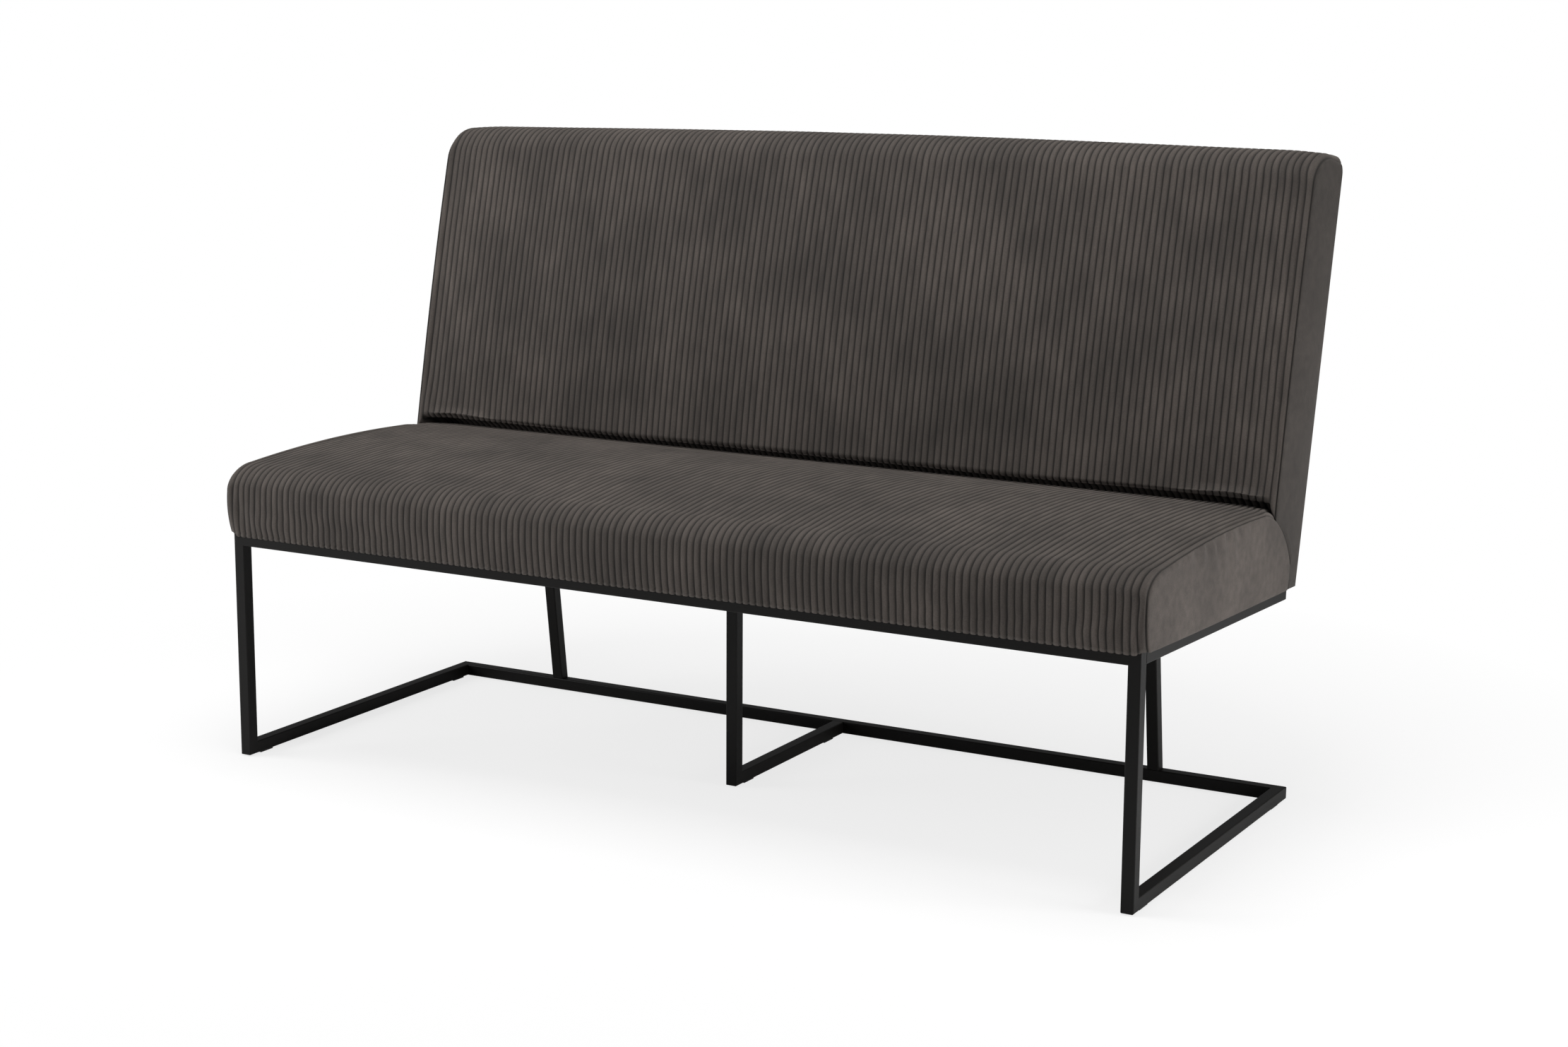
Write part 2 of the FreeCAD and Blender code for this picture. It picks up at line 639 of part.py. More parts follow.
# Timber frame, webbing and fixings of the back, in depth and height on its lean

BACK_END_X = "(sizes.frame_width / 2 + sizes.back_overhang)"
BACK_TIMBER_X = f"({BACK_END_X} - sizes.back_seam_inset - sizes.timber_seam_gap)"
BACK_INNER_X = f"({BACK_TIMBER_X} - sizes.back_upright_width)"
BACK_TIMBER_FRONT = "(sizes.soft_clearance + sizes.cover_thickness)"
BACK_TIMBER_REAR = f"({BACK_TIMBER_FRONT} + sizes.back_timber_thickness)"
BACK_TIMBER_TOP = "(sizes.back_height - sizes.cover_thickness - sizes.back_top_padding)"
TOP_RAIL_FOOT = f"({BACK_TIMBER_TOP} - sizes.back_rail_height)"


def back_foot(depth):
    """Height at one depth of the slope on which the back's timbers stand, over the cover."""
    return f"(sizes.cover_thickness / cos({REAR_ANGLE}) + ({depth}) * tan({REAR_ANGLE}))"


FRONT_FOOT = back_foot(BACK_TIMBER_FRONT)
REAR_FOOT = back_foot(BACK_TIMBER_REAR)
BOTTOM_RAIL_TOP = f"({FRONT_FOOT} + sizes.back_rail_height)"


def back_beam(label, middle, width, front_foot, rear_foot, top):
    """One timber of the back, square or bevelled at its foot, round a middle along the bench."""
    beam = new_body(label)
    outline = new_sketch(beam, "YZ_Plane")
    corners = ((BACK_TIMBER_FRONT, front_foot), (BACK_TIMBER_REAR, rear_foot),
               (BACK_TIMBER_REAR, top), (BACK_TIMBER_FRONT, top))
    add_polygon(outline, corners)
    add_pad(beam, outline, width, symmetric=True)
    on_back(beam, middle, "0", "0")
    return beam


def back_end_upright(name, side):
    middle = f"{side} * ({BACK_TIMBER_X} - sizes.back_upright_width / 2)"
    piece(back_beam(f"back_upright_{name}", middle, "sizes.back_upright_width",
                    FRONT_FOOT, REAR_FOOT, BACK_TIMBER_TOP))


def back_inner_upright(name, side):
    piece(back_beam(f"back_inner_upright_{name}", f"{side} * sizes.inner_upright_x",
                    "sizes.back_upright_width", BOTTOM_RAIL_TOP, BOTTOM_RAIL_TOP, TOP_RAIL_FOOT))


def back_top_rail():
    piece(back_beam("back_top_rail", "0", f"2 * {BACK_INNER_X}",
                    TOP_RAIL_FOOT, TOP_RAIL_FOOT, BACK_TIMBER_TOP))


def back_bottom_rail():
    """Bevelled at its foot and bored for the coach screws."""
    blank = back_beam("back_bottom_rail_blank", "0", f"2 * {BACK_INNER_X}",
                      FRONT_FOOT, REAR_FOOT, BOTTOM_RAIL_TOP)
    reach = f"{BACK_TIMBER_FRONT} + sizes.coach_bite + sizes.coach_clearance"
    piece(cut("back_bottom_rail", blank, fuse(coach_row(cylinder, "0", COACH_HOLE, reach))))


def back_webbing():
    """Straps along the front of the uprights."""
    straps = []
    for index in range(int(size("back_webbing_count"))):
        item = box_piece(f"2 * {BACK_TIMBER_X}", "sizes.webbing_thickness", "sizes.webbing_width")
        middle = f"sizes.back_webbing_start + {index} * sizes.back_webbing_pitch"
        depth = f"{BACK_TIMBER_FRONT} - sizes.webbing_thickness"
        on_back(item, f"-{BACK_TIMBER_X}", depth, f"{middle} - sizes.webbing_width / 2")
        straps.append(item)
    group("back_webbing", straps)


def back_coach_screws():
    """From the counterbores in the seat's rear timber into the back's bottom rail."""
    heads = coach_row(hexagon, f"{COACH_SEAT} - sizes.coach_head_height", "sizes.coach_head_flats",
                      "sizes.coach_head_height")
    shanks = coach_row(cylinder, COACH_SEAT, "sizes.coach_diameter",
                       f"{BACK_TIMBER_FRONT} + sizes.coach_bite - {COACH_SEAT}")
    group("back_coach_screws", [fuse([head, shank]) for head, shank in zip(heads, shanks)])


# Soft forms: lofts through outlines of lines and arcs, which stand at places along the bench

ROUND_SHARE = 1 - math.sqrt(0.5)
CAP_ANGLES = (0.0, 45.0, 90.0)
MIDDLE_SHARES = (-1.0, 0.0, 1.0)


def rounded(start, corner, end):
    """Arc that rounds off a corner between two points."""
    middle = corner + (start - corner + end - corner) * ROUND_SHARE
    return Part.Arc(start, middle, end).toShape()


def bowed(start, end, bow):
    """Arc between two points whose middle stands off their chord by the bow."""
    return Part.Arc(start, (start + end) * 0.5 + bow, end).toShape()


def line(start, end):
    return Part.LineSegment(start, end).toShape()


def seat_outline(along, end_angle, skin):
    """Outline of the seat across the bench at one place along it, inset by a skin all round.

    The end angle goes from 0 inside the end seams to 90 degrees at the flat of an end panel."""
    lean = math.tan(math.radians(size("back_lean")))
    slope = math.tan(math.radians(size("seat_tilt")))
    arc_share = 1 - math.cos(math.radians(end_angle))
    undercut_share = max(0.0, -math.cos(math.radians(2 * end_angle)))
    top_inset = skin + arc_share * size("seat_end_top_round")
    side_inset = skin + arc_share * size("seat_end_side_round")
    foot_inset = skin * math.hypot(1, slope) + undercut_share * size("seat_end_undercut")
    rail_top = size("rail_top")
    crown = size("seat_crown") * (1 - (along / number(SEAT_END_X)) ** 2)

    def base(depth):
        return rail_top - (depth - size("tube_side")) * slope + foot_inset

    def rear(height):
        foot = rail_top - (size("seat_depth") - size("tube_side")) * slope
        return size("seat_depth") + (height - foot) * lean - side_inset * math.hypot(1, lean)

    def at(depth, height):
        return Vector(along, depth, height)

    face = side_inset - size("seat_overhang")
    swell = face - size("seat_bulge")
    edge_z = rail_top + size("seat_edge_rise") - arc_share * size("seat_end_top_round")
    front_z = rail_top + size("seat_front_rise") - top_inset
    rear_z = rail_top + size("seat_rear_rise") - top_inset
    rear_foot_z = rail_top + size("seat_rear_edge_rise") - arc_share * size("seat_end_top_round")
    rear_base = (size("seat_depth") - side_inset, base(size("seat_depth") - side_inset))
    rear_base = (rear(rear_base[1]), base(rear(rear_base[1])))
    foot = at(face, base(face))
    edge = at(swell, edge_z)
    brow = at(swell + size("seat_front_round") - skin, front_z)
    shoulder = at(rear(rear_z) - size("seat_rear_round") + skin, rear_z)
    nape = at(rear(rear_foot_z), rear_foot_z)
    heel = at(rear_base[0], rear_base[1])
    rise = rail_top + size("seat_top_rise") + crown - top_inset
    middle = (brow + shoulder) * 0.5
    edges = [
        bowed(foot, edge, Vector(0, -size("seat_bulge") / 2, 0)),
        rounded(edge, at(swell, front_z), brow),
        bowed(brow, shoulder, Vector(0, 0, rise - middle.z)),
        rounded(shoulder, at(rear(rear_z), rear_z), nape),
        line(nape, heel),
        line(heel, foot),
    ]
    return Part.Wire(edges)


def back_outline(along, end_angle, skin):
    """Outline of the back across the bench, in its own depth and height, inset by a skin all round."""
    slope = math.tan(math.radians(number(REAR_ANGLE)))
    arc_share = 1 - math.cos(math.radians(end_angle))
    middle_share = 1 - (along / number(BACK_END_X)) ** 2
    top = size("back_height") + middle_share * size("back_top_crown")
    top -= skin + arc_share * size("back_end_top_round")
    tail_front = size("soft_clearance") + skin
    full_rear = size("soft_clearance") + 2 * size("cover_thickness") + size("back_timber_thickness")
    rear = full_rear - skin - arc_share * size("back_end_rear_round")
    front = full_rear - size("back_thickness") + skin + arc_share * size("back_end_front_round")
    crown = size("back_end_crown") + middle_share * (size("back_crown") - size("back_end_crown"))
    front_round = size("back_front_round") - skin
    rear_round = size("back_rear_round") - skin
    roll = size("roll_round") - skin

    def at(depth, height):
        return Vector(along, depth, height)

    def foot(depth):
        return at(depth, depth * slope + skin * math.hypot(1, slope))

    toe = foot(tail_front)
    crook = at(tail_front, size("tail_rise") + skin)
    under = at(front + roll, size("roll_rise") + skin)
    lip = at(front, size("roll_rise") + size("roll_round"))
    brow = at(front, top - front_round)
    crest_front = at(front + front_round, top)
    crest_rear = at(rear - rear_round, top)
    nape = at(rear, top - rear_round)
    heel = foot(rear)
    edges = [
        line(toe, crook),
        line(crook, under),
        rounded(under, at(front, under.z), lip),
        bowed(lip, brow, Vector(0, -crown, 0)),
        rounded(brow, at(front, top), crest_front),
        line(crest_front, crest_rear),
        rounded(crest_rear, at(rear, top), nape),
        line(nape, heel),
        line(heel, toe),
    ]
    return Part.Wire(edges)


def soft_wires(outline, end_x, seam_inset, skin):
    """Outlines of a padded form from the left end seam outwards, between the seams, and at the right."""
    seam = end_x - seam_inset
    cap = seam_inset - skin
    middle = [outline(share * seam, 0.0, skin) for share in MIDDLE_SHARES]
    ends = []
    for _, side in SIDES:
        wires = []
        for angle in CAP_ANGLES:
            along = side * (seam + cap * math.sin(math.radians(angle)))
            wires.append(outline(along, angle, skin))
        ends.append(wires)
    return ends[0], middle, ends[1]


def loft(wires):
    """A solid with straight lines from each outline to the next."""
    return Part.makeLoft(wires, True, True)


def soft_shells(outline, end_x, seam_inset):
    """The cover of a padded form as a left end, a middle and a right end of even thickness."""
    outer = soft_wires(outline, end_x, seam_inset, 0.0)
    inner = soft_wires(outline, end_x, seam_inset, size("cover_thickness"))
    return [loft(wires).cut(loft(core)) for wires, core in zip(outer, inner)]


def soft_whole(outline, end_x, seam_inset, skin):
    """A padded form from end to end in one solid."""
    left, middle, right = soft_wires(outline, end_x, seam_inset, skin)
    return loft(left[::-1] + middle[1:-1] + right)


def soft_core(outline, end_x, seam_inset):
    """The filling of a padded form, clear of its cover."""
    return soft_whole(outline, end_x, seam_inset, size("cover_thickness") + size("soft_clearance"))


def soft_piece(label, shape, frame):
    """A sub-part from a shape in its own frame."""
    solids = shape.Solids
    if len(solids) != 1:
        raise RuntimeError(f"{label}: {len(solids)} solids")
    item = doc.addObject("Part::Feature", label)
    item.Label = label
    item.Shape = solids[0]
    item.Placement = frame
    return piece(item)


def bench_frame():
    """Depth from the legs' front faces and height from the floor."""
    return FreeCAD.Placement(Vector(0, size("front_face_y"), 0), FreeCAD.Rotation())


def seat_frame():
    """Depth and height on the slope of the seat."""
    place_on_floor = Vector(0, number(SEAT_PIVOT_Y), size("rail_top"))
    return FreeCAD.Placement(place_on_floor, FreeCAD.Rotation(BACKWARD, size("seat_tilt")))


def back_frame():
    """Depth and height on the lean of the back."""
    foot = Vector(0, number(BACK_PIVOT_Y), number(BACK_PIVOT_Z))
    return FreeCAD.Placement(foot, FreeCAD.Rotation(BACKWARD, size("back_lean")))


def moved(shape, own_frame, other_frame):
    """A copy of a shape that stands in one frame, as seen from another."""
    copy = shape.copy()
    copy.Placement = other_frame.inverse().multiply(own_frame).multiply(copy.Placement)
    return copy


def box_between(low, high):
    spans = [end - start for start, end in zip(low, high)]
    return Part.makeBox(spans[0], spans[1], spans[2], Vector(*low))


def coach_tools():
    """Round tools on the coach screws' lines, in the frame of the back, that pierce both covers."""
    reach = size("timber_thickness")
    radius = number(COACH_HOLE) / 2
    tools = []
    for along in COACH_PLACES:
        start = Vector(number(along), -reach, size("coach_rise"))
        tools.append(Part.makeCylinder(radius, 2 * reach, start, Vector(0, 1, 0)))
    return tools


def seat_covers():
    """Main panel over front, top and rear, open underneath, and two end panels."""
    left, main, right = soft_shells(seat_outline, number(SEAT_END_X), size("seat_seam_inset"))
    depth = size("timber_height")
    opening = box_between((-number(OPENING_X), number(OPENING_FRONT), -depth),
                          (number(OPENING_X), number(OPENING_REAR), depth))
    tools = [moved(tool, back_frame(), bench_frame()) for tool in coach_tools()]
    main = main.cut([moved(opening, seat_frame(), bench_frame())] + tools)
    soft_piece("seat_cover_main", main, bench_frame())
    soft_piece("seat_cover_end_left", left, bench_frame())
    soft_piece("seat_cover_end_right", right, bench_frame())


def seat_foam():
    """Crowned block that drapes over the webbed timber frame."""
    core = soft_core(seat_outline, number(SEAT_END_X), size("seat_seam_inset"))
    half = number(TIMBER_X)
    depth = size("timber_height")
    top = size("cover_thickness") + size("timber_height") + size("webbing_thickness")
    room = box_between((-half, number(TIMBER_FRONT), -depth),
                       (half, number(SEAT_REAR) + depth, top))
    core = core.cut(moved(room, seat_frame(), bench_frame()))
    soft_piece("seat_foam", core, bench_frame())


def back_covers():
    """Front panel over front, top and foot, two end panels and a flat rear panel."""
    end_x = number(BACK_END_X)
    inset = size("back_seam_inset")
    shells = soft_shells(back_outline, end_x, inset)
    whole = soft_whole(back_outline, end_x, inset, 0.0)
    hollow = soft_whole(back_outline, end_x, inset, size("cover_thickness"))
    rear_face = number(BACK_TIMBER_REAR) + size("cover_thickness")
    reach = size("back_height")
    seam = rear_face - size("back_rear_seam")
    behind = box_between((-reach - end_x, seam, -reach), (reach + end_x, reach, 2 * reach))
    left, front, right = [shell.cut(behind) for shell in shells]
    rear = whole.cut(hollow).common(behind)
    soft_piece("back_cover_front", front.cut(coach_tools()), back_frame())
    soft_piece("back_cover_end_left", left, back_frame())
    soft_piece("back_cover_end_right", right, back_frame())
    soft_piece("back_cover_rear", rear, back_frame())


def back_foam():
    """Block in front of the webbed timber frame, over its top and round its ends."""
    core = soft_core(back_outline, number(BACK_END_X), size("back_seam_inset"))
    half = number(BACK_TIMBER_X)
    reach = size("back_height")
    front = number(BACK_TIMBER_FRONT) - size("webbing_thickness")
    room = box_between((-half, front, -reach), (half, reach, number(BACK_TIMBER_TOP)))
    soft_piece("back_foam", core.cut(room), back_frame())


# The whole bench, from the floor up

front_seat_rail()
for side_name, side_sign in SIDES:
    front_leg(side_name, side_sign)
    side_seat_rail(side_name, side_sign)
    floor_runner(side_name, side_sign)
    rear_strut(side_name, side_sign)
rear_seat_rail()
for bearer_name, bearer_x in BEARERS:
    seat_bearer(bearer_name, bearer_x)
centre_leg()
floor_runner_centre()
rear_floor_bar()
floor_glides()

seat_front_timber()
seat_rear_timber()
for side_name, side_sign in SIDES:
    seat_end_timber(side_name, side_sign)
for brace_name, brace_x in BEARERS:
    seat_cross_brace(brace_name, brace_x)
seat_corner_blocks()
seat_webbing()
seat_foam()
seat_covers()
seat_dust_cover()
seat_fixing_screws()

for side_name, side_sign in SIDES:
    back_end_upright(side_name, side_sign)
    back_inner_upright(side_name, side_sign)
back_top_rail()
back_bottom_rail()
back_webbing()
back_foam()
back_covers()
back_coach_screws()
doc.recompute()

for item in doc.Objects:
    if "Invalid" in item.State or "Error" in item.State:
        raise RuntimeError(f"{item.Label}: {item.State}")
for item in PIECES:
    if item.Shape.isNull() or not item.Shape.isValid():
        raise RuntimeError(f"{item.Label}: no valid shape")

os.makedirs("parts", exist_ok=True)
for item in PIECES:
    item.Shape.exportStep(f"parts/{item.Label}.step")
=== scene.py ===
"""Looks of a tall-backed corduroy dining bench on a black tube base, built round its CAD frame."""

import math

import bpy
import numpy as np
from mathutils import Matrix, Vector


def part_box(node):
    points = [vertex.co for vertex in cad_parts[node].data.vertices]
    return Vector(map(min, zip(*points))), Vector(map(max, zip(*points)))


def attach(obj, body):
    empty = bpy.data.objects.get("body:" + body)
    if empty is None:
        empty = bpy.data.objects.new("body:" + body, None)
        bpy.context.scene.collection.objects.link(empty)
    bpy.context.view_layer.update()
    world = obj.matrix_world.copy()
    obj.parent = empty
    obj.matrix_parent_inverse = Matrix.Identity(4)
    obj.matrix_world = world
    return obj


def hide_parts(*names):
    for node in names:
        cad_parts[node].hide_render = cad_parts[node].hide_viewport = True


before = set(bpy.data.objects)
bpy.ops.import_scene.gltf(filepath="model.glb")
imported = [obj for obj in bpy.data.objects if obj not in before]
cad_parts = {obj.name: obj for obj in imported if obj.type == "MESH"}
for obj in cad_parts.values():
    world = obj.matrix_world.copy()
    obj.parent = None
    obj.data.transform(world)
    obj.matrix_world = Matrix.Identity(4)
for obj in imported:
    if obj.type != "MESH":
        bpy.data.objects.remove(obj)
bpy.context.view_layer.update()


# Steel base: square tubes, mitred and welded, in a satin black powder coat.
# They keep their CAD meshes. The baked powder gives a soft gloss with a faint orange peel.

COAT_SPECULAR = 0.15
NOISE_LOW = 0.3
NOISE_HIGH = 0.7
GRAIN_DETAIL = 3.0


def linear(hex_colour):
    """Linear RGBA of an sRGB hex colour, by the sRGB curve."""
    channels = np.array([int(hex_colour[place:place + 2], 16) for place in (1, 3, 5)]) / 255
    dark = channels / 12.92
    bright = ((channels + 0.055) / 1.055) ** 2.4
    return (*np.where(channels <= 0.04045, dark, bright).tolist(), 1.0)


def add_node(tree, kind, settings=None, inputs=None):
    """Adds a node, sets its properties, and sets or links its inputs by name or number."""
    node = tree.nodes.new(kind)
    for name, value in (settings or {}).items():
        setattr(node, name, value)
    for name, value in (inputs or {}).items():
        if isinstance(value, bpy.types.NodeSocket):
            tree.links.new(value, node.inputs[name])
        else:
            node.inputs[name].default_value = value
    return node


def new_material(name, colour, roughness, ior):
    """A principled material. Returns it with its tree and its shader node."""
    material = bpy.data.materials.new(name)
    material.use_nodes = True
    tree = material.node_tree
    shader = tree.nodes["Principled BSDF"]
    shader.inputs["Base Color"].default_value = linear(colour)
    shader.inputs["Roughness"].default_value = roughness
    shader.inputs["IOR"].default_value = ior
    return material, tree, shader


def mottled(tree, place, size, detail, low, high):
    """A tone between low and high that changes over one size, and the noise that it comes from.

    The tone follows the noise in a straight line, over the range that most of the noise lies in."""
    noise = add_node(tree, "ShaderNodeTexNoise", inputs={
        "Vector": place, "Scale": 1 / size, "Detail": detail}).outputs["Fac"]
    tone = add_node(tree, "ShaderNodeMapRange", inputs={
        "Value": noise, "From Min": NOISE_LOW, "From Max": NOISE_HIGH, "To Min": low, "To Max": high})
    return tone.outputs["Result"], noise


def grained(name, colour, roughness, ior, grain, height, tones, stretch=(1, 1, 1)):
    """A material whose tone and surface rise and fall over a grain of one size, in metres.

    A stretch below one draws the grain out along that axis."""
    material, tree, shader = new_material(name, colour, roughness, ior)
    place = add_node(tree, "ShaderNodeTexCoord").outputs["Object"]
    stretched = add_node(tree, "ShaderNodeMapping", inputs={"Vector": place, "Scale": stretch})
    tone, noise = mottled(tree, stretched.outputs["Vector"], grain, GRAIN_DETAIL, *tones)
    shade = add_node(tree, "ShaderNodeVectorMath", {"operation": "SCALE"}, {
        0: linear(colour)[:3], "Scale": tone})
    tree.links.new(shade.outputs["Vector"], shader.inputs["Base Color"])
    bump = add_node(tree, "ShaderNodeBump", inputs={
        "Height": noise, "Distance": height, "Strength": 1.0})
    tree.links.new(bump.outputs["Normal"], shader.inputs["Normal"])
    return material


def dress(words, material):
    """Gives a material to every CAD node whose name holds one of the words."""
    for name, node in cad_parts.items():
        if any(word in name for word in words):
            for slot in node.material_slots:
                slot.material = material


powder_coat = grained("black_powder_coat", "#0A0908", roughness=0.45, ior=1.5, grain=0.0012,
                      height=0.00002, tones=(0.85, 1.15))
coat_shader = powder_coat.node_tree.nodes["Principled BSDF"]
coat_shader.inputs["Specular IOR Level"].default_value = COAT_SPECULAR
dress(("leg", "runner", "floor_bar", "strut", "rail", "bearer"), powder_coat)


# Floor glides: stick-on pads of moulded black polyethylene under both ends of each runner.
# They lift the runners just clear of the floor. Their moulded skin is dull and finely grained.

glide_plastic = grained("black_polyethylene", "#141414", roughness=0.55, ior=1.51, grain=0.0006,
                        height=0.00001, tones=(0.9, 1.1))
dress(("glides",), glide_plastic)


# Timber frames of the seat and the back: planed beech, glued at the joints and hidden by the covers.
# A straight grain runs along each timber, pale with darker streaks.

ALONG_GRAIN = 0.1
TIMBERS = (("along_the_bench", (ALONG_GRAIN, 1, 1),
            ("front_timber", "rear_timber", "blocks", "back_top", "back_bottom")),
           ("front_to_back", (1, ALONG_GRAIN, 1), ("end_timber", "brace")),
           ("standing", (1, 1, ALONG_GRAIN), ("upright",)))

for direction, stretch, timbers in TIMBERS:
    beech = grained("planed_beech_" + direction, "#C79A6B", roughness=0.6, ior=1.5, grain=0.004,
                    height=0.0001, tones=(0.78, 1.18), stretch=stretch)
    dress(timbers, beech)


# Straps: woven elastic webbing, stretched across the timber frames under the foam and stapled to them.
# The weave is dull, dark and flecked.

elastic = grained("woven_elastic", "#3A3632", roughness=0.85, ior=1.5, grain=0.002,
                  height=0.0004, tones=(0.7, 1.3))
dress(("webbing",), elastic)


# Dust cloth: a black non-woven sheet, stapled to the seat's timber frame from below.
# Its pressed fibres are dead matt and a little uneven.

dust_cloth = grained("black_dust_cloth", "#121212", roughness=0.95, ior=1.5, grain=0.0015,
                     height=0.0002, tones=(0.7, 1.3))
dress(("dust_cover",), dust_cloth)


# Screws: zinc-plated steel, up through the bearers into the seat, and through its rear timber into the back.
# The bright plating gives their heads a cold gleam.

zinc = grained("bright_zinc", "#C4C8CC", roughness=0.35, ior=1.5, grain=0.0008,
               height=0.00001, tones=(0.9, 1.1))
zinc.node_tree.nodes["Principled BSDF"].inputs["Metallic"].default_value = 1.0
dress(("screws",), zinc)


# Wide-rib corduroy: a cut-pile cotton cloth, sewn over the seat and the back with plain end panels.
# Each cover is a closed grid: rows run round the cushion, columns run along the bench.
# The pile's own grain is drawn coarser than it is, so that it shows.

RIB_PITCH = 0.0115
RIB_HEIGHT = 0.0017
RIB_COLUMNS = 6
GROOVE_RISE = 0.1
RIDGE_RISE = 0.95
STREAK_LENGTH = 0.06
STREAK_RIBS = 1.1
NAP_PATCH = 0.13
PILE_GRAIN = 0.0016
PILE_BUMP = 0.0004
PLAIN_STRETCH = (0.8, 4, 0)
END_SWELL = 0.006
SEAM_TURN = math.radians(60)
CAP_TURNS = np.radians((66, 72, 78, 84, 90))
RING_SHARES = np.linspace(0.95, 0.02, 16)
TURN_SLACK = 1e-6
LEAST_LENGTH = 1e-9
CLOTH_STEPS = 20
CLOTH_ROW_STEP = 2


def corduroy(name, groove_colour, ridge_colour):
    """Pile that is dark in the grooves and pale on the ridges, streaked along the ribs.

    Broad patches are lighter or darker where the nap has been brushed up or down."""
    material, tree, shader = new_material(name, ridge_colour, roughness=0.92, ior=1.46)
    weave = add_node(tree, "ShaderNodeAttribute", {"attribute_name": "weave"}).outputs["Vector"]
    parts = add_node(tree, "ShaderNodeSeparateXYZ", inputs={"Vector": weave}).outputs
    streak_place = add_node(tree, "ShaderNodeVectorMath", {"operation": "MULTIPLY"}, {
        0: weave, 1: (1 / RIB_PITCH, 1 / STREAK_LENGTH, 0.0)}).outputs["Vector"]
    place = add_node(tree, "ShaderNodeTexCoord").outputs["Object"]
    streak, _ = mottled(tree, streak_place, size=STREAK_RIBS, detail=4.0, low=0.74, high=1.2)
    patch, _ = mottled(tree, place, size=NAP_PATCH, detail=1.5, low=0.78, high=1.22)
    pile, speck = mottled(tree, place, size=PILE_GRAIN, detail=2.0, low=0.85, high=1.12)
    rib = add_node(tree, "ShaderNodeMapRange", inputs={
        "Value": parts["Z"], "From Min": GROOVE_RISE, "From Max": RIDGE_RISE})
    shade = add_node(tree, "ShaderNodeMix", {"data_type": "RGBA"}, {
        "Factor": rib.outputs["Result"], 6: linear(groove_colour), 7: linear(ridge_colour)}).outputs[2]
    for tone in (streak, patch, pile):
        shade = add_node(tree, "ShaderNodeVectorMath", {"operation": "SCALE"}, {
            0: shade, "Scale": tone}).outputs["Vector"]
    tree.links.new(shade, shader.inputs["Base Color"])
    bump = add_node(tree, "ShaderNodeBump", inputs={
        "Height": speck, "Distance": PILE_BUMP, "Strength": 0.6})
    tree.links.new(bump.outputs["Normal"], shader.inputs["Normal"])
    shader.inputs["Sheen Weight"].default_value = 0.12
    shader.inputs["Sheen Roughness"].default_value = 0.45
    shader.inputs["Sheen Tint"].default_value = linear("#B8AEA4")
    return material


def columns(seam, end):
    """Places along the bench, turn over the ends, share of the end ring and rise of the rib, by column.

    Each rib is half an ellipse. The ribs run on over the rounding of the ends to the end seams."""
    edge = seam + (end - seam) * math.sin(SEAM_TURN)
    count = round(2 * edge / RIB_PITCH)
    middle = np.linspace(-edge, edge, count * RIB_COLUMNS + 1)
    middle_turn = np.arcsin(np.clip((np.abs(middle) - seam) / (end - seam), 0, 1))
    across = np.abs(np.arange(len(middle)) % RIB_COLUMNS / RIB_COLUMNS * 2 - 1)
    outer = np.concatenate((seam + (end - seam) * np.sin(CAP_TURNS), np.full(len(RING_SHARES), end)))
    outer_turn = np.concatenate((CAP_TURNS, np.full(len(RING_SHARES), math.pi / 2)))
    outer_ring = np.concatenate((np.ones(len(CAP_TURNS)), RING_SHARES))
    along = np.concatenate((-outer[::-1], middle, outer))
    turn = np.concatenate((outer_turn[::-1], middle_turn, outer_turn))
    ring = np.concatenate((outer_ring[::-1], np.ones(len(middle)), outer_ring))
    plain = np.ones(len(outer))
    rib = np.concatenate((plain, np.sqrt(1 - across ** 2), plain))
    return along, turn, ring, rib


def bowed(start, end, bow, count):
    """Rows from start to just before end, on a parabola that stands off the chord by the bow."""
    share = np.linspace(0, 1, count + 1)[:-1, None, None]
    return start + (end - start) * share + bow * 4 * share * (1 - share)


def straight(start, end, count):
    """Rows from start to just before end, evenly spaced on a straight line."""
    return bowed(start, end, np.zeros(2), count)


def rounded(start, corner, end, count):
    """Rows from start to just before end, on a quarter ellipse that meets both sides of the corner."""
    turn = np.linspace(0, math.pi / 2, count + 1)[:-1, None, None]
    return corner + (start - corner) * (1 - np.sin(turn)) + (end - corner) * (1 - np.cos(turn))


def spot(depth, height):
    """Points across the bench, one for each column, from depths and heights."""
    return np.stack(np.broadcast_arrays(depth, height), axis=-1)


def near_end(along, end, length):
    """Share that grows evenly from nought, at a length from the end of the bench, to one at the end."""
    return np.clip((np.abs(along) - end) / length + 1, 0, 1)


def drawn_in(outline, middle, ring):
    """Rings of the end panels: each is the outline shrunk towards a middle point."""
    return middle + (outline - middle) * ring[:, None]


def past_seam(turn):
    """Share of the way from the end seam over to the flat of the end panel."""
    return np.clip((turn - SEAM_TURN) / (math.pi / 2 - SEAM_TURN), 0, 1)


def end_swell(outline, turn):
    """Swell of the end panels: a parabola in depth times a parabola in height, nought at their edges."""
    panel = outline[:, turn == turn.max()]
    middle = (panel.min(axis=(0, 1)) + panel.max(axis=(0, 1))) / 2
    half = (panel.max(axis=(0, 1)) - panel.min(axis=(0, 1))) / 2
    falls = np.clip(1 - ((outline - middle) / half) ** 2, 0, 1)
    return END_SWELL * falls[:, :, 0] * falls[:, :, 1] * past_seam(turn)


def smooth(field, times):
    """Averages each point with its neighbours along rows, which close, and along columns."""
    for _ in range(times):
        field = (np.roll(field, 1, axis=0) + 2 * field + np.roll(field, -1, axis=0)) / 4
        inner = (field[:, :-2] + 2 * field[:, 1:-1] + field[:, 2:]) / 4
        field = np.concatenate((field[:, :1], inner, field[:, -1:]), axis=1)
    return field


